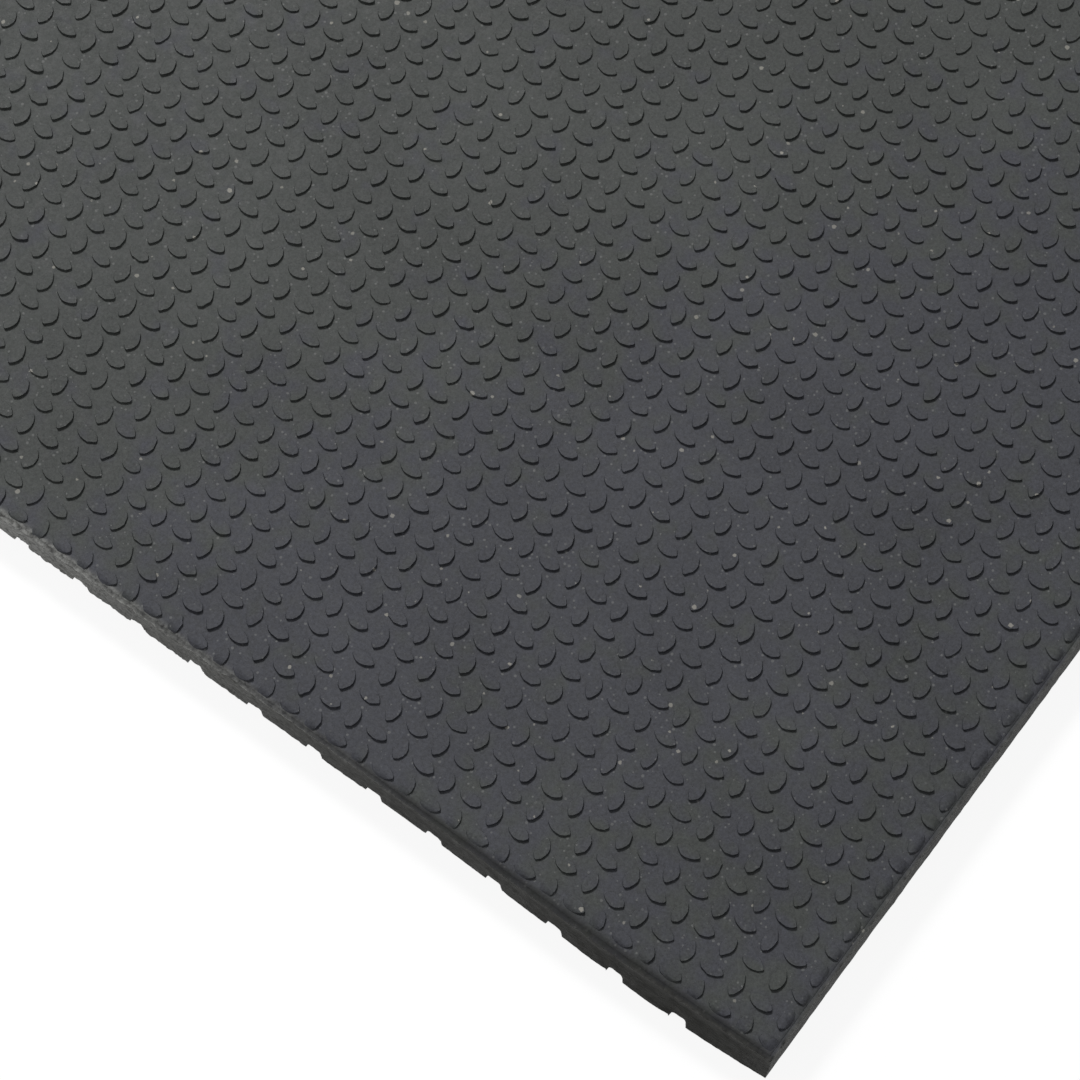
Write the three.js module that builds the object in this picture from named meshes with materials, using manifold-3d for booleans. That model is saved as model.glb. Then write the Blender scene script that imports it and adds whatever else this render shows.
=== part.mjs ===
// Rubber stall mat: one moulded sheet with a stepped edge all round and drainage grooves underneath.
// Millimetres, +Z up. X runs across the mat, Y along it, and the origin is the middle of the underside.
// The fine tread lugs on top are surface relief: this solid is the sheet that carries them.
import * as THREE from "three";
import { mergeVertices } from "three/addons/utils/BufferGeometryUtils.js";
import Module from "manifold-3d";

const wasm = await Module();
wasm.setup();

// Overall sizes of the mat, as it is sold.
const matWidth = 1219.2;
const matLength = 1828.8;
const overallThickness = 19;
const lugHeight = 1; // the tread lugs stand this high on the sheet's top face

// Edge of the moulding: a straight wall, a narrow flat ledge on it, and a rounded shoulder up to the top face.
const wallHeight = 17.6;
const ledgeWidth = 1.7;
const shoulderWidth = 3;
const shoulderSteps = 6;

// Drainage grooves in the underside, side by side, open at both ends.
const groovePitch = 33;
const grooveMouth = 9;
const grooveDepth = 5.2;
const grooveCornerRadius = 2;
const grooveDraft = 1.2; // each side wall leans in by this much from the mouth to the ceiling
const firstGrooveFromSide = 44.3; // from the +X side to the middle of the nearest groove
const leastLandAtSide = 20; // solid rubber kept between the last groove and the -X side
const grooveArcSteps = 4;
const cutterOverrun = 5;

const sheetThickness = overallThickness - lugHeight;
const shoulderHeight = sheetThickness - wallHeight;

// A closed three.js geometry as a manifold solid.
function toSolid(geometry) {
  const bare = geometry.clone();
  bare.deleteAttribute("normal");
  bare.deleteAttribute("uv");
  const merged = mergeVertices(bare, 1e-4);
  return new wasm.Manifold(
    new wasm.Mesh({
      numProp: 3,
      vertProperties: merged.getAttribute("position").array,
      triVerts: new Uint32Array(merged.index.array),
    }),
  );
}

// A manifold solid as a flat-shaded three.js geometry.
function toGeometry(solid) {
  const mesh = solid.getMesh();
  const indexed = new THREE.BufferGeometry();
  indexed.setAttribute("position", new THREE.BufferAttribute(mesh.vertProperties, 3));
  indexed.setIndex(new THREE.BufferAttribute(mesh.triVerts, 1));
  const geometry = indexed.toNonIndexed();
  geometry.computeVertexNormals();
  return geometry;
}

function rectangle(width, length) {
  const shape = new THREE.Shape();
  shape.moveTo(-width / 2, -length / 2);
  shape.lineTo(width / 2, -length / 2);
  shape.lineTo(width / 2, length / 2);
  shape.lineTo(-width / 2, length / 2);
  shape.closePath();
  return shape;
}

// The lower part of the sheet, as wide and long as the mat, up to the ledge.
function lowerSlab() {
  const geometry = new THREE.ExtrudeGeometry(rectangle(matWidth, matLength), {
    depth: wallHeight,
    bevelEnabled: false,
  });
  return toSolid(geometry);
}

// The upper part: the top face and the rounded shoulder that falls from it to the ledge.
// Its underside has the same shoulder, upside down, and lies inside the lower slab.
function upperSlab() {
  const faceInset = ledgeWidth + shoulderWidth;
  const face = rectangle(matWidth - 2 * faceInset, matLength - 2 * faceInset);
  const core = shoulderHeight / 4;
  const geometry = new THREE.ExtrudeGeometry(face, {
    depth: core,
    bevelEnabled: true,
    bevelThickness: shoulderHeight,
    bevelSize: shoulderWidth,
    bevelSegments: shoulderSteps,
  });
  geometry.translate(0, 0, wallHeight - core);
  return toSolid(geometry);
}

// Section of one groove, mouth down, drawn in X and Z with its middle on X = 0.
function grooveSection() {
  const half = grooveMouth / 2;
  const radius = Math.min(grooveCornerRadius, grooveDepth, half - grooveDraft);
  const straight = grooveDepth - radius;
  const wallTop = half - (grooveDraft * straight) / grooveDepth;
  const shape = new THREE.Shape();
  shape.moveTo(-half, -cutterOverrun);
  shape.lineTo(half, -cutterOverrun);
  shape.lineTo(half, 0);
  shape.lineTo(wallTop, straight);
  shape.absarc(wallTop - radius, straight, radius, 0, Math.PI / 2, false);
  shape.lineTo(radius - wallTop, grooveDepth);
  shape.absarc(radius - wallTop, straight, radius, Math.PI / 2, Math.PI, false);
  shape.lineTo(-half, 0);
  shape.closePath();
  return shape;
}

// The X of each groove's middle, from the +X side inwards.
function grooveCentres() {
  const first = matWidth / 2 - firstGrooveFromSide;
  const last = -matWidth / 2 + leastLandAtSide + grooveMouth / 2;
  const centres = [];
  for (let x = first; x >= last; x -= groovePitch) centres.push(x);
  return centres;
}

function grooveCutter(x) {
  const run = matLength + 2 * cutterOverrun;
  const geometry = new THREE.ExtrudeGeometry(grooveSection(), {
    depth: run,
    bevelEnabled: false,
    curveSegments: grooveArcSteps,
  });
  geometry.rotateX(Math.PI / 2); // the section now stands in X and Z, and runs towards -Y
  geometry.translate(x, run / 2, 0);
  return toSolid(geometry);
}

let sheet = lowerSlab().add(upperSlab());
for (const x of grooveCentres()) sheet = sheet.subtract(grooveCutter(x));

const rubber = new THREE.MeshStandardMaterial({
  color: new THREE.Color(0.068, 0.07, 0.073),
  roughness: 0.8,
  metalness: 0,
});

const stallMat = new THREE.Mesh(toGeometry(sheet), rubber);
stallMat.name = "stall_mat";

const part = new THREE.Group();
part.add(stallMat);

export default part;
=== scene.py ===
"""Looks of a rubber stall mat: tread lugs, rough moulded edges, a pale floor, soft light and a camera.

Every length is in metres. X runs across the mat, Y along it, and the origin is the middle of its
underside. The panel is in the 3D view's sidebar, under Mat.
"""

import math
import bmesh
import bpy
import numpy as np
from bpy.props import FloatProperty, FloatVectorProperty, IntProperty, PointerProperty
from bpy.types import Operator, Panel, PropertyGroup
from mathutils import Matrix, Vector, noise


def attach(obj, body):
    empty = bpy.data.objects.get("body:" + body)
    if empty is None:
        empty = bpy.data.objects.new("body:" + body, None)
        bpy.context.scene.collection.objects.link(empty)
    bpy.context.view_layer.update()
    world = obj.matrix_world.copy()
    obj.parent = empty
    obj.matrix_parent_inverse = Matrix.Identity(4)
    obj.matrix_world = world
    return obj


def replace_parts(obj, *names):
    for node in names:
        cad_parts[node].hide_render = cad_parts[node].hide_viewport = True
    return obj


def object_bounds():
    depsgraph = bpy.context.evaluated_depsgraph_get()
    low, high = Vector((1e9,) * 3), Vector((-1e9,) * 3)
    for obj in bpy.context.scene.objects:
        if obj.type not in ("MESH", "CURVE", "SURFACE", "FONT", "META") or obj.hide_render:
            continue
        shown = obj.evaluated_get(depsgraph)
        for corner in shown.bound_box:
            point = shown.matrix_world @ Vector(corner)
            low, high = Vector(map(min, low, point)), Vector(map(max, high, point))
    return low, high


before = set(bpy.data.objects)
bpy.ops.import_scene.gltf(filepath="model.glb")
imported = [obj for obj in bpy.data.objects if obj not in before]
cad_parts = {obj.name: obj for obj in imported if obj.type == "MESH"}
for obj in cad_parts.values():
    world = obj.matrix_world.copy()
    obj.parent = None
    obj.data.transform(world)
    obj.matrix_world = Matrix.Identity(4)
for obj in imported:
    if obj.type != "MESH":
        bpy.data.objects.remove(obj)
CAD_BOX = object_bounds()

bl_info = {
    "name": "Rubber stall mat",
    "version": (1, 0, 0),
    "blender": (4, 5, 0),
    "location": "View3D > Sidebar > Mat",
    "description": "Dresses a moulded rubber stall mat and sets its stage",
    "category": "Object",
}

SHEET_NODE = "stall_mat"
MM = 0.001
SIDES = ((0, -1), (0, 1), (1, -1), (1, 1))  # the four walls, each as its axis and its sign
LIP_FROM = 17.2 * MM  # the wall's top edge, the ledge and the shoulder lie above this
LEDGE = 17.6 * MM  # the height of the ledge on the wall
WALL_CUTS = (1.3, 2.6, 3.9, 6.6, 8.2, 9.8, 11.4, 13.0, 14.6, 16.2, 17.1)  # heights in mm
FOOT_DROP = 0.35 * MM  # how deep a lug's top ends under the top face at the edge
FILL_SIZE = 0.5  # the side of the fill light, in metres


class TreadSettings(PropertyGroup):
    """Sizes of the raised lugs on the mat's top face."""

    column_step: FloatProperty(
        name="Column step",
        description="From one column of lugs to the next, across the mat",
        default=12.7 * MM,
        unit="LENGTH",
    )
    row_step: FloatProperty(
        name="Row step",
        description="From one row of lugs to the next, along the mat",
        default=12.08 * MM,
        unit="LENGTH",
    )
    length: FloatProperty(
        name="Lug length",
        description="Length of one lug at its foot",
        default=11.3 * MM,
        unit="LENGTH",
    )
    width: FloatProperty(
        name="Lug width",
        description="Width of one lug at its foot",
        default=6.7 * MM,
        unit="LENGTH",
    )
    height: FloatProperty(
        name="Lug height",
        description="Height of a lug above the sheet's top face",
        default=0.95 * MM,
        unit="LENGTH",
    )
    pointedness: FloatProperty(
        name="Pointedness",
        description="1 is an ellipse and 2 a lens with sharp tips",
        default=1.45,
    )
    wall_lean: FloatProperty(
        name="Wall lean",
        description="How far the lug's wall leans in on its way up",
        default=0.36 * MM,
        unit="LENGTH",
    )
    outline_points: IntProperty(
        name="Outline points", description="Number of points round one lug", default=16
    )
    sink: FloatProperty(
        name="Sink",
        description="How deep a lug's foot goes into the sheet",
        default=0.3 * MM,
        unit="LENGTH",
    )
    first_column: FloatProperty(
        name="First column",
        description="From the +X wall to the middle of the nearest column of lugs",
        default=5.2 * MM,
        unit="LENGTH",
    )
    first_row: FloatProperty(
        name="First row",
        description="From the -Y wall to the middle of the nearest row of lugs",
        default=5.6 * MM,
        unit="LENGTH",
    )
    margin: FloatProperty(
        name="Plain margin",
        description="From the mat's walls to where the lugs end",
        default=2.1 * MM,
        unit="LENGTH",
    )
    run_out: FloatProperty(
        name="Run-out",
        description="Width of the strip in which the lugs get lower towards the edge",
        default=3.2 * MM,
        unit="LENGTH",
    )
    unevenness: FloatProperty(
        name="Unevenness",
        description="How much the lugs differ from each other",
        default=1.0,
    )
    bands: IntProperty(
        name="Bands",
        description="Number of pieces that the tread is made in, along the mat",
        default=6,
    )
    seed: IntProperty(name="Seed", description="Start of the random numbers", default=7)


class EdgeSettings(PropertyGroup):
    """How the moulded edge is roughened."""

    band: FloatProperty(
        name="Band",
        description="Width of the border that is cut finely",
        default=7 * MM,
        unit="LENGTH",
    )
    fade: FloatProperty(
        name="Fade",
        description="How far in from the wall the roughness reaches",
        default=4 * MM,
        unit="LENGTH",
    )
    fine_step: FloatProperty(
        name="Fine step",
        description="Step of the cuts along the part of the edge that is looked at",
        default=1 * MM,
        unit="LENGTH",
    )
    coarse_step: FloatProperty(
        name="Coarse step",
        description="Step of the cuts along the other edges",
        default=3 * MM,
        unit="LENGTH",
    )
    fine_from: FloatProperty(
        name="Fine from",
        description="The -Y edge is cut finely from this X to the +X corner",
        default=0.2,
        unit="LENGTH",
    )
    streaks: FloatProperty(
        name="Streaks", description="Depth of the long streaks", default=0.2 * MM, unit="LENGTH"
    )
    tears: FloatProperty(
        name="Tears", description="Depth of the torn places", default=0.7 * MM, unit="LENGTH"
    )
    bulge: FloatProperty(
        name="Bulge",
        description="How far the -Y wall stands out near the +X corner, over its whole height",
        default=2.3 * MM,
        unit="LENGTH",
    )
    bulge_middle: FloatProperty(
        name="Bulge middle", description="X of the bulge's middle", default=0.525, unit="LENGTH"
    )
    bulge_reach: FloatProperty(
        name="Bulge reach", description="Half the bulge's length", default=0.085, unit="LENGTH"
    )
    flare: FloatProperty(
        name="Flare",
        description="How far the foot of the -Y wall stands out beyond its top there",
        default=2.7 * MM,
        unit="LENGTH",
    )
    flare_middle: FloatProperty(
        name="Flare middle", description="X of the flare's middle", default=0.565, unit="LENGTH"
    )
    flare_reach: FloatProperty(
        name="Flare reach", description="Half the flare's length", default=0.06, unit="LENGTH"
    )
    chips: FloatProperty(
        name="Chips", description="Height of the chips in the foot", default=0.9 * MM, unit="LENGTH"
    )
    groove_step: FloatProperty(
        name="Groove step", description="Step of the grooves", default=33 * MM, unit="LENGTH"
    )
    first_groove: FloatProperty(
        name="First groove",
        description="From the +X wall to the middle of the nearest groove",
        default=44.3 * MM,
        unit="LENGTH",
    )
    groove_mouth: FloatProperty(
        name="Groove mouth", description="Width of a groove's mouth", default=9 * MM, unit="LENGTH"
    )
    worn_lip: FloatProperty(
        name="Worn lip",
        description="How high the worn lip beside a groove is lifted near the +X corner",
        default=3.2 * MM,
        unit="LENGTH",
    )


class StageSettings(PropertyGroup):
    """The camera and the lights."""

    lens: FloatProperty(
        name="Focal length", description="In millimetres, on a 36 mm sensor", default=129.44
    )
    azimuth: FloatProperty(
        name="Azimuth",
        description="Direction that the camera looks in, seen from above and counted from +X",
        default=math.radians(126.418),
        subtype="ANGLE",
    )
    elevation: FloatProperty(
        name="Elevation",
        description="How steeply the camera looks down",
        default=math.radians(66.611),
        subtype="ANGLE",
    )
    roll: FloatProperty(
        name="Roll",
        description="Turn of the camera about its own view",
        default=0.0,
        subtype="ANGLE",
    )
    distance: FloatProperty(
        name="Distance",
        description="From the camera to the point that it looks at",
        default=1.7146,
        unit="LENGTH",
    )
    target: FloatVectorProperty(
        name="Target",
        description="Point that the camera looks at",
        default=(0.39121, -0.78146, 0.018),
        subtype="XYZ",
    )
    key_azimuth: FloatProperty(
        name="Key azimuth",
        description="Where the main light comes from, counted from +X",
        default=math.radians(143),
        subtype="ANGLE",
    )
    key_elevation: FloatProperty(
        name="Key elevation",
        description="Height of the main light over the floor",
        default=math.radians(42),
        subtype="ANGLE",
    )
    key_distance: FloatProperty(
        name="Key distance",
        description="From the main light to the camera's target",
        default=5.0,
        unit="LENGTH",
    )
    key_size: FloatProperty(
        name="Key size",
        description="Side of the main light",
        default=1.0,
        unit="LENGTH",
    )
    key_power: FloatProperty(name="Key power", description="In watts", default=232.0)
    fill_place: FloatVectorProperty(
        name="Fill place",
        description="Where the small fill light stands",
        default=(0.05, -1.35, 0.4),
        subtype="XYZ",
    )
    fill_power: FloatProperty(name="Fill power", description="In watts", default=0.55)
    sky: FloatProperty(
        name="Sky", description="Strength of the even light from all round", default=0.3
    )
    floor_size: FloatProperty(
        name="Floor size", description="Side of the floor", default=14.0, unit="LENGTH"
    )


def arrange(tree):
    """Sets the nodes out in columns, from the inputs on the left to the output on the right."""
    depth = {n: 0 for n in tree.nodes}
    for _ in range(len(tree.nodes)):
        for link in tree.links:
            depth[link.from_node] = max(depth[link.from_node], depth[link.to_node] + 1)
    rows = {}
    for node in tree.nodes:
        row = rows.get(depth[node], 0)
        rows[depth[node]] = row + 1
        node.location = (-260 * depth[node], -220 * row)


def math_node(tree, operation, a, b=None, clamp=False):
    node = tree.nodes.new("ShaderNodeMath")
    node.operation = operation
    node.use_clamp = clamp
    for socket, value in zip(node.inputs, (a, b)):
        if value is None:
            continue
        if isinstance(value, (int, float)):
            socket.default_value = value
        else:
            tree.links.new(value, socket)
    return node.outputs[0]


def scaled(tree, vector, factors):
    node = tree.nodes.new("ShaderNodeVectorMath")
    node.operation = "MULTIPLY"
    tree.links.new(vector, node.inputs[0])
    node.inputs[1].default_value = factors
    return node.outputs[0]


def noise_node(tree, vector, scale, detail=3.0, roughness=0.55):
    node = tree.nodes.new("ShaderNodeTexNoise")
    node.inputs["Scale"].default_value = scale
    node.inputs["Detail"].default_value = detail
    node.inputs["Roughness"].default_value = roughness
    tree.links.new(vector, node.inputs["Vector"])
    return node.outputs["Fac"]


def remap(tree, value, low, high, to_low=0.0, to_high=1.0):
    node = tree.nodes.new("ShaderNodeMapRange")
    node.clamp = True
    for name, number in (
        ("From Min", low),
        ("From Max", high),
        ("To Min", to_low),
        ("To Max", to_high),
    ):
        node.inputs[name].default_value = number
    tree.links.new(value, node.inputs["Value"])
    return node.outputs["Result"]


def blend_colour(tree, factor, a, b, kind="MIX"):
    """Mixes two colours. Each argument is a socket or a fixed value."""
    node = tree.nodes.new("ShaderNodeMix")
    node.data_type = "RGBA"
    node.blend_type = kind
    coloured = [s for s in node.inputs if s.type == "RGBA"]
    for socket, value in ((node.inputs["Factor"], factor), (coloured[0], a), (coloured[1], b)):
        if isinstance(value, (tuple, float)):
            socket.default_value = value
        else:
            tree.links.new(value, socket)
    return [s for s in node.outputs if s.type == "RGBA"][0]


def weighted(tree, *terms):
    """The sum of values, each times its weight."""
    total = None
    for value, weight in terms:
        part = math_node(tree, "MULTIPLY", value, weight)
        total = part if total is None else math_node(tree, "ADD", total, part)
    return total


def flecks(tree, place, scale, share, small, large):
    """A mask of round flecks: one in some of the cells of a random pattern."""
    cells = tree.nodes.new("ShaderNodeTexVoronoi")
    cells.inputs["Scale"].default_value = scale
    tree.links.new(place, cells.inputs["Vector"])
    pick = tree.nodes.new("ShaderNodeSeparateColor")
    tree.links.new(cells.outputs["Color"], pick.inputs["Color"])
    chosen = math_node(tree, "GREATER_THAN", pick.outputs["Red"], 1 - share)
    size = remap(tree, pick.outputs["Green"], 0.0, 1.0, small, large)
    ragged = weighted(tree, (noise_node(tree, place, scale * 9, 1.0), 0.12), (size, 1.0))
    past = math_node(tree, "SUBTRACT", cells.outputs["Distance"], ragged)
    inside = remap(tree, past, -0.07, -0.05, 1.0, 0.0)
    strength = remap(tree, pick.outputs["Blue"], 0.0, 1.0, 0.3, 1.0)
    return math_node(tree, "MULTIPLY", math_node(tree, "MULTIPLY", chosen, inside), strength)


def group_with(name, inputs, outputs):
    """An empty shader group with its sockets, as (tree, input node, output node)."""
    tree = bpy.data.node_groups.new(name, "ShaderNodeTree")
    for label, kind in inputs:
        tree.interface.new_socket(label, in_out="INPUT", socket_type=kind)
    for label, kind in outputs:
        tree.interface.new_socket(label, in_out="OUTPUT", socket_type=kind)
    return tree, tree.nodes.new("NodeGroupInput"), tree.nodes.new("NodeGroupOutput")


def face_group():
    """Group: the moulded face of black rubber. Colour, roughness and relief, from a place in metres."""
    tree, start, end = group_with(
        "Moulded rubber",
        [("Place", "NodeSocketVector")],
        [
            ("Colour", "NodeSocketColor"),
            ("Roughness", "NodeSocketFloat"),
            ("Relief", "NodeSocketFloat"),
        ],
    )
    place = start.outputs["Place"]
    broad = noise_node(tree, place, 14.0, 2.0, 0.5)
    patch = noise_node(tree, place, 75.0, 2.0, 0.5)
    cloud = noise_node(tree, place, 210.0, 3.0, 0.6)
    grain = noise_node(tree, place, 800.0, 2.0, 0.65)
    fine = noise_node(tree, place, 2100.0, 1.0, 0.5)

    tone = weighted(tree, (broad, 0.15), (cloud, 0.25), (grain, 0.35), (fine, 0.25))
    dark, light = (0.0175, 0.0184, 0.0197, 1.0), (0.0625, 0.0645, 0.0675, 1.0)
    colour = blend_colour(tree, remap(tree, tone, 0.36, 0.64), dark, light)
    # Most patches near the corner of +X and -Y are bluish. The others are greenish.
    apart = tree.nodes.new("ShaderNodeSeparateXYZ")
    tree.links.new(place, apart.inputs[0])
    inward = weighted(tree, (apart.outputs[0], -0.916), (apart.outputs[1], 0.567))
    blue = math_node(
        tree,
        "MULTIPLY",
        remap(tree, inward, -0.787, -0.637, 1.0, 0.0),
        remap(tree, inward, -0.957, -0.837, 0.55, 1.0),
    )
    hue = remap(tree, weighted(tree, (patch, 1.0), (blue, 0.36)), 0.56, 0.8)
    tint = blend_colour(tree, hue, (0.985, 1.045, 0.935, 1.0), (0.945, 0.955, 1.1, 1.0))
    colour = blend_colour(tree, 1.0, colour, tint, "MULTIPLY")

    pale = flecks(tree, place, 120.0, 0.3, 0.04, 0.14)
    dots = flecks(tree, place, 430.0, 0.32, 0.1, 0.3)
    colour = blend_colour(
        tree, math_node(tree, "MULTIPLY", dots, 0.5), colour, (0.17, 0.172, 0.168, 1.0)
    )
    colour = blend_colour(
        tree, math_node(tree, "MULTIPLY", pale, 0.95), colour, (0.42, 0.4, 0.35, 1.0)
    )

    relief = weighted(tree, (cloud, 0.4), (grain, 0.5), (fine, 0.3))
    tree.links.new(colour, end.inputs["Colour"])
    tree.links.new(remap(tree, cloud, 0.3, 0.7, 0.6, 0.76), end.inputs["Roughness"])
    tree.links.new(relief, end.inputs["Relief"])
    arrange(tree)
    return tree


def edge_group():
    """Group: the streaked and torn edge, with painted shade and painted light. Colour and relief, from
    a place and a value that carries both wear and painted light.
    """
    tree, start, end = group_with(
        "Torn edge",
        [("Place", "NodeSocketVector"), ("Wear and light", "NodeSocketFloat")],
        [("Colour", "NodeSocketColor"), ("Relief", "NodeSocketFloat")],
    )
    place, wear_and_light = start.outputs["Place"], start.outputs["Wear and light"]
    streak = noise_node(tree, scaled(tree, place, (1.0, 1.0, 12.0)), 90.0, 3.0, 0.6)
    shred = noise_node(tree, scaled(tree, place, (1.0, 1.0, 2.2)), 420.0, 3.0, 0.7)
    tone = weighted(tree, (streak, 0.55), (shred, 0.45))
    # Painted shade: the fresh edge colour is kept darker than the face's rubber, so the walls look
    # shaded.
    dark, light = (0.0065, 0.0065, 0.0052, 1.0), (0.0175, 0.0174, 0.0142, 1.0)
    fresh_and_shaded = blend_colour(tree, remap(tree, tone, 0.34, 0.66), dark, light)
    dark, light = (0.04, 0.0405, 0.038, 1.0), (0.27, 0.271, 0.26, 1.0)
    torn = blend_colour(tree, remap(tree, shred, 0.32, 0.68), dark, light)
    # The blend from fresh to torn follows a value that is partly wear and partly painted light.
    colour = blend_colour(tree, wear_and_light, fresh_and_shaded, torn)
    tree.links.new(colour, end.inputs["Colour"])
    tree.links.new(weighted(tree, (streak, 0.5), (shred, 0.9)), end.inputs["Relief"])
    arrange(tree)
    return tree


def attribute(tree, name):
    node = tree.nodes.new("ShaderNodeAttribute")
    node.attribute_name = name
    return node.outputs["Fac"]


def rubber_material():
    """Black rubber, for the sheet and its lugs. The sheet's attributes say where its edge is, with
    painted shade along the crease, and how worn it is, with painted light.
    """
    material = bpy.data.materials.new("black_rubber")
    material.use_nodes = True
    tree = material.node_tree
    tree.nodes.clear()
    links = tree.links
    out = tree.nodes.new("ShaderNodeOutputMaterial")
    shader = tree.nodes.new("ShaderNodeBsdfPrincipled")
    where = tree.nodes.new("ShaderNodeTexCoord").outputs["Object"]
    face = tree.nodes.new("ShaderNodeGroup")
    face.node_tree = face_group()
    edge = tree.nodes.new("ShaderNodeGroup")
    edge.node_tree = edge_group()
    links.new(where, face.inputs["Place"])
    links.new(where, edge.inputs["Place"])
    links.new(attribute(tree, "wear_and_light"), edge.inputs["Wear and light"])
    edge_and_crease_shade = attribute(tree, "edge")

    # The edge colour goes on the walls and, as painted shade, on the crease and ledge beside them.
    colour = blend_colour(tree, edge_and_crease_shade, face.outputs["Colour"], edge.outputs["Colour"])
    links.new(remap(tree, edge_and_crease_shade, 0.0, 1.0, 0.4, 0.21), shader.inputs["Specular IOR Level"])
    extra = math_node(tree, "MULTIPLY", edge.outputs["Relief"], edge_and_crease_shade)
    relief = weighted(tree, (face.outputs["Relief"], 1.0), (extra, 2.2))
    bump = tree.nodes.new("ShaderNodeBump")
    bump.inputs["Strength"].default_value = 0.7
    bump.inputs["Distance"].default_value = 0.0002
    links.new(relief, bump.inputs["Height"])
    links.new(colour, shader.inputs["Base Color"])
    links.new(face.outputs["Roughness"], shader.inputs["Roughness"])
    links.new(bump.outputs["Normal"], shader.inputs["Normal"])
    links.new(shader.outputs["BSDF"], out.inputs["Surface"])
    arrange(tree)
    return material


def floor_material():
    """Pale studio floor that shows only a faint shadow."""
    material = bpy.data.materials.new("pale_floor")
    material.use_nodes = True
    shader = material.node_tree.nodes["Principled BSDF"]
    shader.inputs["Base Color"].default_value = (0.12, 0.12, 0.12, 1.0)
    shader.inputs["Roughness"].default_value = 0.9
    shader.inputs["Specular IOR Level"].default_value = 0.0
    shader.inputs["Emission Color"].default_value = (1.0, 1.0, 1.0, 1.0)
    shader.inputs["Emission Strength"].default_value = 0.9
    return material


def shared_rubber():
    return bpy.data.materials.get("black_rubber") or rubber_material()


def shown(mesh, name):
    """A rubber piece of the mat from a finished mesh."""
    mesh.materials.clear()
    mesh.materials.append(shared_rubber())
    piece = bpy.data.objects.new(name, mesh)
    bpy.context.scene.collection.objects.link(piece)
    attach(piece, "root")
    return piece


def one_lug(settings):
    """A mesh of one almond-shaped lug with a flat top, long along Y, open underneath."""
    mesh = bpy.data.meshes.new("lug")
    bm = bmesh.new()
    bmesh.ops.create_circle(bm, cap_ends=True, segments=settings.outline_points, radius=1.0)
    foot = CAD_BOX[1][2] - settings.sink
    for vert in bm.verts:
        across, along = vert.co.y, vert.co.x
        side = math.copysign(abs(across) ** settings.pointedness, across)
        vert.co = Vector((side * settings.width / 2, along * settings.length / 2, foot))
    face = bm.faces[:][0]
    face.normal_update()
    if face.normal.z < 0:
        face.normal_flip()
    bmesh.ops.inset_region(
        bm,
        faces=[face],
        thickness=settings.wall_lean,
        depth=settings.height + settings.sink,
        use_even_offset=True,
        use_boundary=True,
    )
    bm.to_mesh(mesh)
    bm.free()
    return mesh


def tread_cell(settings):
    """A mesh of the four lugs of one repeat: two along Y and two across."""
    lug = one_lug(settings)
    bm = bmesh.new()
    for column, row in ((0, 0), (1, 1), (1, 0), (0, 1)):
        before = len(bm.verts)
        bm.from_mesh(lug)
        bm.verts.ensure_lookup_table()
        new = bm.verts[before:]
        if (column + row) % 2 == 0:
            bmesh.ops.rotate(bm, verts=new, cent=(0, 0, 0), matrix=Matrix.Rotation(math.pi / 2, 3, "Z"))
        shift = (-column * settings.column_step, row * settings.row_step, 0)
        bmesh.ops.translate(bm, verts=new, vec=shift)
    mesh = bpy.data.meshes.new("tread_cell")
    bm.to_mesh(mesh)
    bm.free()
    return mesh


def repeated(mesh, name, counts, steps):
    """A mesh of copies of a cell, made with two array modifiers that are applied."""
    helper = bpy.data.objects.new(name, mesh)
    bpy.context.scene.collection.objects.link(helper)
    for count, offset in zip(counts, ((-steps[0], 0, 0), (0, steps[1], 0))):
        modifier = helper.modifiers.new("repeat", "ARRAY")
        modifier.count = count
        modifier.use_relative_offset = False
        modifier.use_constant_offset = True
        modifier.constant_offset_displace = offset
    graph = bpy.context.evaluated_depsgraph_get()
    result = bpy.data.meshes.new_from_object(helper.evaluated_get(graph))
    bpy.data.objects.remove(helper)
    result.name = name
    return result


def hashed(*numbers):
    """Even random numbers from 0 to 1 that depend only on the given arrays."""
    total = sum(n * k for n, k in zip(numbers, (12.9898, 78.233, 37.719, 94.673)))
    value = np.sin(total) * 43758.5453
    return value - np.floor(value)


def uneven(points, start, settings):
    """Gives each lug its own size, turn, place and height, and roughens its outline."""
    steps = (settings.column_step, settings.row_step)
    seed, amount = settings.seed, settings.unevenness
    column = np.round((start[0] - points[:, 0]) / steps[0])
    row = np.round((points[:, 1] - start[1]) / steps[1])
    middle = np.stack([start[0] - column * steps[0], start[1] + row * steps[1]], 1)
    spread = [hashed(column, row, np.full_like(row, seed + k)) * 2 - 1 for k in range(7)]
    near = points[:, :2] - middle
    turn = math.radians(3.5) * amount * spread[1]
    cos, sin = np.cos(turn), np.sin(turn)
    x = (near[:, 0] * cos - near[:, 1] * sin) * (1 + 0.055 * amount * spread[0])
    y = (near[:, 0] * sin + near[:, 1] * cos) * (1 + 0.055 * amount * spread[5])
    x += 0.22 * MM * amount * spread[2]
    y += 0.22 * MM * amount * spread[3]
    # A lug's foot and top share the same angle from its middle, so they get the same offset.
    angle = np.round(np.arctan2(near[:, 1], near[:, 0]) * 8 / math.pi)
    seeds = [np.full_like(row, seed + 9 + k) for k in (0, 1)]
    rim = np.stack([hashed(column + 0.37 * angle, row, s) for s in seeds], 1)
    rim = (rim - 0.5) * 0.4 * MM * amount
    out = points.copy()
    out[:, 0] = middle[:, 0] + x + rim[:, 0]
    out[:, 1] = middle[:, 1] + y + rim[:, 1]
    top = CAD_BOX[1][2]
    above = np.clip(points[:, 2] - top, 0, None)
    tilt = 1 + 0.18 * amount * (spread[4] + spread[6] * near[:, 0] / (6 * MM))
    out[:, 2] = np.where(above > 0, top + above * np.minimum(tilt, 1.2), points[:, 2])
    return out


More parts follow.
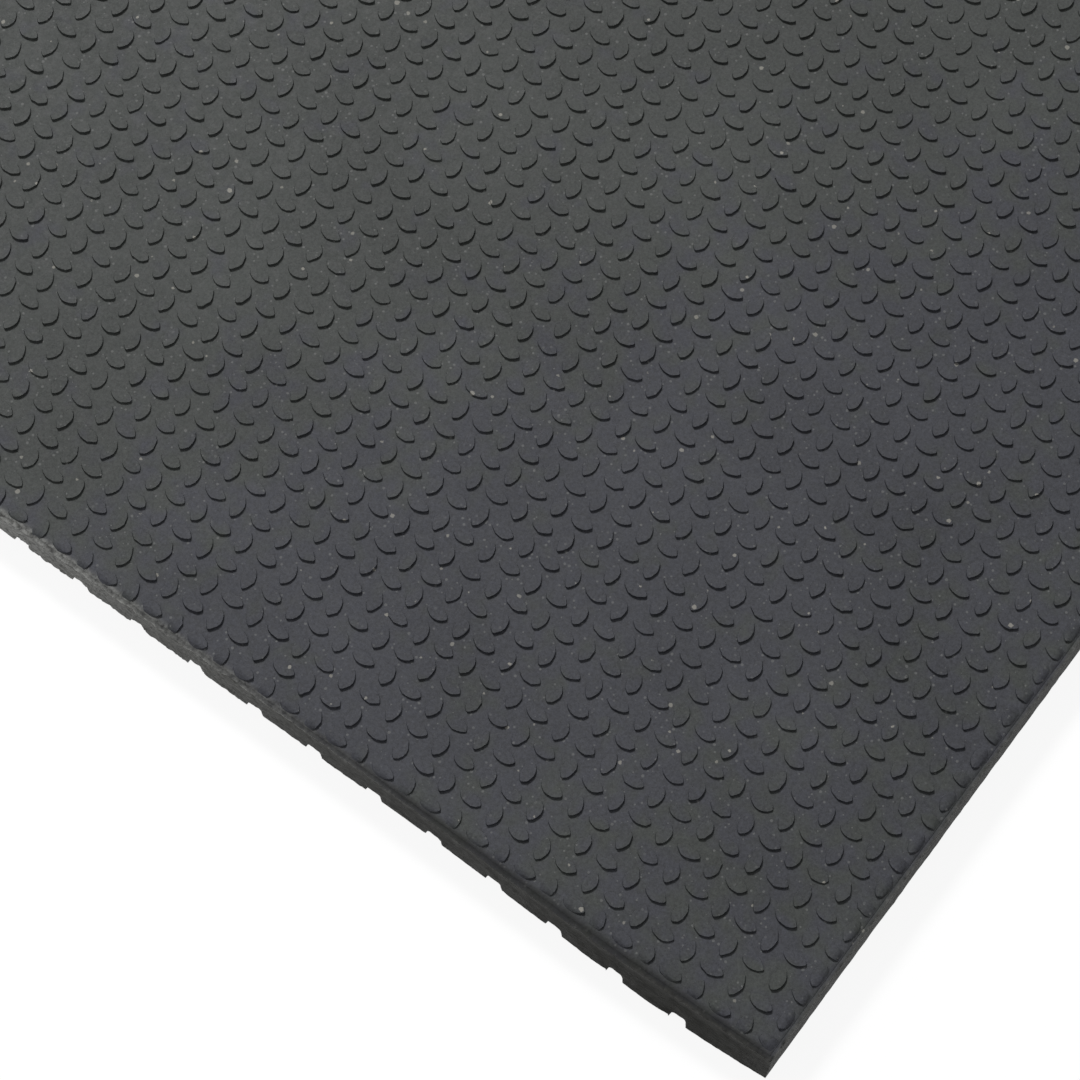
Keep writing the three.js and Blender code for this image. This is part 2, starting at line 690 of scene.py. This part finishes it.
def cut(bm, faces, axis, place, clear=0, snap=1e-7):
    """Cuts faces with a plane across an axis and returns the faces that come out.

    With clear set to 1 or -1, what lies beyond the plane on that side is taken away.
    A corner nearer to the plane than snap, in metres, counts as on it.
    """
    normal = Vector((0, 0, 0))
    normal[axis] = 1
    edges = {e for f in faces for e in f.edges}
    verts = {v for f in faces for v in f.verts}
    result = bmesh.ops.bisect_plane(
        bm,
        geom=list(verts) + list(edges) + list(faces),
        dist=snap,
        plane_co=normal * place,
        plane_no=normal,
        clear_outer=clear > 0,
        clear_inner=clear < 0,
    )
    return [] if clear else [g for g in result["geom"] if isinstance(g, bmesh.types.BMFace)]


def faces_past(bm, axis, sign, limit):
    """The lugs' faces that lie near a limit or beyond it."""
    reach = limit - sign * 30 * MM
    return [f for f in bm.faces if (f.calc_center_median()[axis] - reach) * sign > 0]


def trimmed(bm, settings):
    """Cuts the lugs off along the mat's four sides, and lowers them towards the cut."""
    run_out = settings.run_out
    top = CAD_BOX[1][2]
    for axis, sign in SIDES:
        wall = CAD_BOX[1][axis] if sign > 0 else CAD_BOX[0][axis]
        limit = wall - sign * settings.margin
        cut(bm, faces_past(bm, axis, sign, limit), axis, limit, clear=sign, snap=0.0)
        faces = faces_past(bm, axis, sign, limit)
        for share in (0.3, 0.6, 1.0):
            faces = cut(bm, faces, axis, limit - sign * share * run_out, snap=0.0)
        for vert in bm.verts:
            inside = (limit - vert.co[axis]) * sign / run_out
            if inside < 1 and vert.co.z > top:
                vert.co.z -= (vert.co.z - top + FOOT_DROP) * (1 - max(0.0, inside)) ** 2


class MAT_OT_tread(Operator):
    """Makes the tread: almond-shaped lugs in two directions, in bands along the mat"""

    bl_idname = "mat.tread"
    bl_label = "Make the tread"

    def execute(self, context):
        settings = context.scene.mat_tread
        steps = (settings.column_step, settings.row_step)
        width = CAD_BOX[1][0] - CAD_BOX[0][0]
        length = CAD_BOX[1][1] - CAD_BOX[0][1]
        start = (CAD_BOX[1][0] - settings.first_column, CAD_BOX[0][1] + settings.first_row)
        # A band has an even number of rows, so that the next one carries the pattern on.
        pairs_across = math.ceil((width / steps[0] + 1) / 2)
        pairs_along = math.ceil((length / steps[1] + 1) / 2 / settings.bands)
        cell = tread_cell(settings)
        for band in range(settings.bands):
            name = f"tread_band_{band + 1}"
            mesh = repeated(cell, name, (pairs_across, pairs_along), (2 * steps[0], 2 * steps[1]))
            along = start[1] + band * 2 * pairs_along * steps[1]
            mesh.transform(Matrix.Translation((start[0], along, 0)))
            points = np.empty(len(mesh.vertices) * 3)
            mesh.vertices.foreach_get("co", points)
            points = uneven(points.reshape(-1, 3), start, settings)
            mesh.vertices.foreach_set("co", points.ravel())
            bm = bmesh.new()
            bm.from_mesh(mesh)
            trimmed(bm, settings)
            for face in bm.faces:
                face.smooth = True
            bm.to_mesh(mesh)
            bm.free()
            mesh.set_sharp_from_angle(angle=math.radians(35))
            shown(mesh, name)
        return {"FINISHED"}


def wall_depth(place, axis, sign):
    """How far a place lies inside one of the four walls."""
    return CAD_BOX[1][axis] - place[axis] if sign > 0 else place[axis] - CAD_BOX[0][axis]


def sliced(bm, faces, axis, places):
    """Cuts faces with planes at many places along an axis, by halves."""
    if not places or not faces:
        return
    half = len(places) // 2
    faces = cut(bm, faces, axis, places[half])
    low = [f for f in faces if f.calc_center_median()[axis] < places[half]]
    high = [f for f in faces if f.calc_center_median()[axis] >= places[half]]
    sliced(bm, low, axis, places[:half])
    sliced(bm, high, axis, places[half + 1 :])


def steps_between(low, high, step):
    count = max(1, round((high - low) / step))
    return [low + (high - low) * k / count for k in range(1, count)]


def cut_border(bm, settings):
    """Cuts a narrow border along the four walls finely, and leaves the rest in large faces."""
    for axis, sign in SIDES:
        wall = CAD_BOX[1][axis] if sign > 0 else CAD_BOX[0][axis]
        cut(bm, bm.faces[:], axis, wall - sign * settings.band)
    for axis, sign in SIDES:
        along = 1 - axis
        low, high = CAD_BOX[0][along], CAD_BOX[1][along]
        if (axis, sign) == (1, -1):
            places = steps_between(low, settings.fine_from, settings.coarse_step)
            places += [settings.fine_from]
            places += steps_between(settings.fine_from, high, settings.fine_step)
        else:
            places = steps_between(low, high, settings.coarse_step)
        border = [f for f in bm.faces if wall_depth(f.calc_center_median(), axis, sign) < settings.band]
        sliced(bm, border, along, places)
    for axis, sign in SIDES:
        wall = [f for f in bm.faces if wall_depth(f.calc_center_median(), axis, sign) < 0.01 * MM]
        sliced(bm, wall, 2, [h * MM for h in WALL_CUTS])


def ripple(*numbers):
    return noise.noise(Vector(numbers))


def wear_and_light_at(axis, sign, along):
    """From 0, dark and smooth, to 1, pale and torn, at a place along one of the walls. Along the -Y
    wall it rises away from the +X corner, which is partly wear and partly painted light.
    """
    if (axis, sign) == (1, -1):
        # Painted light: the -Y wall gets paler away from the +X corner, where more light falls; the
        # same value also drives the tears and chips.
        run = min(1.0, max(0.0, (0.44 - along) / 0.26))
        return run**1.5 * (1 + 0.35 * ripple(along * 25, 3.1, 0.4))
    return max(0.0, 0.03 + 0.08 * ripple(along * 7, 5.0 * axis + sign, 0.2))


def bell(value, middle, reach):
    """1 in the middle, and less than 0.4 farther away than the reach."""
    return math.exp(-(((value - middle) / reach) ** 2))


def flare_at(along, settings):
    """How far the foot of the -Y wall stands out: a little along half of it, most near the corner."""
    rise = min(1.0, max(0.0, (along - 0.26) / 0.14))
    return settings.flare * (bell(along, settings.flare_middle, settings.flare_reach) + 0.33 * rise)


def lip_lift(along, settings):
    """How high the foot beside a groove is lifted. It is worn most near the +X corner."""
    place = CAD_BOX[1][0] - settings.first_groove - along
    number = math.floor(place / settings.groove_step + 0.5)
    past = place - number * settings.groove_step - settings.groove_mouth / 2
    reach = 9 * MM
    if number < 0 or number > 34 or not 0 <= past < reach:
        return 0.0
    strength = max(0.12, 1 - number / 3.5) * (0.8 + 0.4 * ripple(number * 1.7, 2.0, 0.0))
    return settings.worn_lip * strength * (1 - past / reach) ** 1.5


def roughen(bm, settings):
    """Moves the border's vertices and writes where the edge is and how worn it is. Both values also
    carry painted shade and painted light.
    """
    edge_and_crease_shade_layer = bm.verts.layers.float.new("edge")
    wear_and_light_layer = bm.verts.layers.float.new("wear_and_light")
    for vert in bm.verts:
        place = vert.co.copy()
        z = place.z
        for axis, sign in SIDES:
            depth = wall_depth(place, axis, sign)
            if depth >= settings.band:
                continue
            near = max(0.0, 1 - depth / settings.fade)
            along = place[1 - axis]
            side = 3.0 * axis + sign
            wear_and_light = wear_and_light_at(axis, sign, along)
            at_wall = depth < 0.1 * MM
            # Painted shade: the ledge and crease inside each wall get some of the dark edge colour,
            # most on the -Y wall.
            crease_shade, lip = (0.65, 0.12) if (axis, sign) == (1, -1) else (0.12, 0.2)
            fall = min(1.0, max(0.0, 2.2 - 0.5 * depth / MM))
            mask = 1.0 if at_wall else (crease_shade + 0.3 * wear_and_light) * fall
            vert[edge_and_crease_shade_layer] = max(vert[edge_and_crease_shade_layer], mask)
            # Painted shade: the wall's colour is darker towards its foot and lighter towards its top.
            scuff_and_light = wear_and_light * (0.85 + 18 * z)
            # Above this height the ledge and lip get paler. The lip's extra is partly scuffing and
            # partly a painted highlight.
            if z > LIP_FROM:
                scuff_and_light = 0.8 * wear_and_light + 0.3 * min(1.0, 5 * wear_and_light) + lip * at_wall
            vert[wear_and_light_layer] = max(vert[wear_and_light_layer], min(1.0, scuff_and_light))

            low = max(0.0, 1 - z / (14 * MM))
            push = settings.streaks * ripple(along * 70, z * 700, side)
            push += 0.35 * MM * ripple(along * 11, side, 4.0) * (0.3 + low)
            torn = ripple(along * 300, z * 260, side + 9) + 0.6 * ripple(along * 720, z * 600, side)
            push += settings.tears * (0.25 + wear_and_light) * min(0.25, torn - 0.15)
            if (axis, sign) == (1, -1):
                push += flare_at(along, settings) * low
                bend = settings.bulge * bell(along, settings.bulge_middle, settings.bulge_reach)
                vert.co[axis] += sign * bend * max(0.0, 1 - depth / settings.band)
            vert.co[axis] += sign * push * near

            chip = ripple(along * 150, side, 1.0) + 0.5 * ripple(along * 480, side, 2.0)
            lift = settings.chips * (0.35 + wear_and_light) * max(0.0, chip - 0.12)
            if (axis, sign) == (1, -1):
                lift += lip_lift(along, settings)
            vert.co.z += lift * near * max(0.0, 1 - z / (5.5 * MM))
            ridge = max(0.0, 1 - abs(z - LEDGE) / (0.5 * MM))
            vert.co.z += 0.3 * MM * ridge * near * (ripple(along * 90, side, 6.0) - 0.1)


class MAT_OT_sheet(Operator):
    """Makes the moulded sheet with its rough edge, in place of the plain one"""

    bl_idname = "mat.sheet"
    bl_label = "Make the sheet"

    def execute(self, context):
        settings = context.scene.mat_edge
        plain = bpy.data.objects[SHEET_NODE]
        bm = bmesh.new()
        bm.from_mesh(plain.data)
        bm.transform(plain.matrix_world)
        bmesh.ops.remove_doubles(bm, verts=bm.verts, dist=0.002 * MM)
        bmesh.ops.dissolve_limit(
            bm, angle_limit=math.radians(0.5), verts=bm.verts, edges=bm.edges, delimit=set()
        )
        cut_border(bm, settings)
        roughen(bm, settings)
        bmesh.ops.triangulate(bm, faces=[f for f in bm.faces if len(f.verts) > 4])
        for face in bm.faces:
            face.smooth = True
        mesh = bpy.data.meshes.new("moulded_sheet")
        bm.to_mesh(mesh)
        bm.free()
        mesh.set_sharp_from_angle(angle=math.radians(40))
        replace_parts(shown(mesh, "moulded_sheet"), SHEET_NODE)
        return {"FINISHED"}


def camera_axes(settings):
    """The camera's right, up and forward directions."""
    az, el, roll = settings.azimuth, settings.elevation, settings.roll
    forward = Vector((math.cos(az) * math.cos(el), math.sin(az) * math.cos(el), -math.sin(el)))
    right = forward.cross(Vector((0, 0, 1))).normalized()
    up = right.cross(forward)
    turned_right = math.cos(roll) * right + math.sin(roll) * up
    turned_up = -math.sin(roll) * right + math.cos(roll) * up
    return turned_right, turned_up, forward


def add_lamp(name, place, aim, size, power):
    """A square soft light that the camera doesn't see."""
    lamp = bpy.data.lights.new(name, "AREA")
    lamp.shape = "SQUARE"
    lamp.size = size
    lamp.energy = power
    holder = bpy.data.objects.new(name, lamp)
    holder.location = place
    holder.rotation_euler = (place - aim).to_track_quat("Z", "Y").to_euler()
    holder.visible_camera = False
    bpy.context.scene.collection.objects.link(holder)


class MAT_OT_stage(Operator):
    """Makes the pale floor, the soft lights and the camera"""

    bl_idname = "mat.stage"
    bl_label = "Set the stage"

    def execute(self, context):
        settings = context.scene.mat_stage
        scene = context.scene
        target = Vector(settings.target)

        bm = bmesh.new()
        bmesh.ops.create_grid(bm, x_segments=1, y_segments=1, size=settings.floor_size / 2)
        mesh = bpy.data.meshes.new("studio_floor")
        bm.to_mesh(mesh)
        bm.free()
        mesh.materials.append(floor_material())
        floor = bpy.data.objects.new("studio_floor", mesh)
        floor.location = (0, 0, -0.0002)
        scene.collection.objects.link(floor)

        right, up, forward = camera_axes(settings)
        camera = bpy.data.objects.new("camera", bpy.data.cameras.new("camera"))
        camera.data.sensor_width = 36
        camera.data.lens = settings.lens
        camera.data.clip_start = 0.05
        turn = Matrix((right, up, -forward)).transposed().to_4x4()
        camera.matrix_world = Matrix.Translation(target - settings.distance * forward) @ turn
        scene.collection.objects.link(camera)
        scene.camera = camera

        az, el = settings.key_azimuth, settings.key_elevation
        direction = Vector((math.cos(az) * math.cos(el), math.sin(az) * math.cos(el), math.sin(el)))
        place = target + direction * settings.key_distance
        add_lamp("key", place, target, settings.key_size, settings.key_power)
        place = Vector(settings.fill_place)
        aim = Vector((place.x, CAD_BOX[0][1], 0.01))
        add_lamp("fill", place, aim, FILL_SIZE, settings.fill_power)

        world = scene.world or bpy.data.worlds.new("studio")
        scene.world = world
        world.use_nodes = True
        sky = world.node_tree.nodes["Background"]
        sky.inputs["Color"].default_value = (1.0, 1.0, 1.0, 1.0)
        sky.inputs["Strength"].default_value = settings.sky
        scene.view_settings.view_transform = "Standard"
        return {"FINISHED"}


class MAT_PT_panel(Panel):
    """Sidebar panel of the mat"""

    bl_label = "Rubber stall mat"
    bl_space_type = "VIEW_3D"
    bl_region_type = "UI"
    bl_category = "Mat"

    def draw(self, context):
        scene = context.scene
        for operator, group in (
            (MAT_OT_sheet, scene.mat_edge),
            (MAT_OT_tread, scene.mat_tread),
            (MAT_OT_stage, scene.mat_stage),
        ):
            box = self.layout.box()
            box.operator(operator.bl_idname)
            for name in group.__annotations__:
                box.prop(group, name)


CLASSES = (
    TreadSettings,
    EdgeSettings,
    StageSettings,
    MAT_OT_sheet,
    MAT_OT_tread,
    MAT_OT_stage,
    MAT_PT_panel,
)


def register():
    for cls in CLASSES:
        bpy.utils.register_class(cls)
    bpy.types.Scene.mat_tread = PointerProperty(type=TreadSettings)
    bpy.types.Scene.mat_edge = PointerProperty(type=EdgeSettings)
    bpy.types.Scene.mat_stage = PointerProperty(type=StageSettings)


def unregister():
    del bpy.types.Scene.mat_stage
    del bpy.types.Scene.mat_edge
    del bpy.types.Scene.mat_tread
    for cls in reversed(CLASSES):
        bpy.utils.unregister_class(cls)


def main():
    register()
    bpy.ops.mat.stage()
    bpy.ops.mat.sheet()
    bpy.ops.mat.tread()


if __name__ == "__main__":
    main()
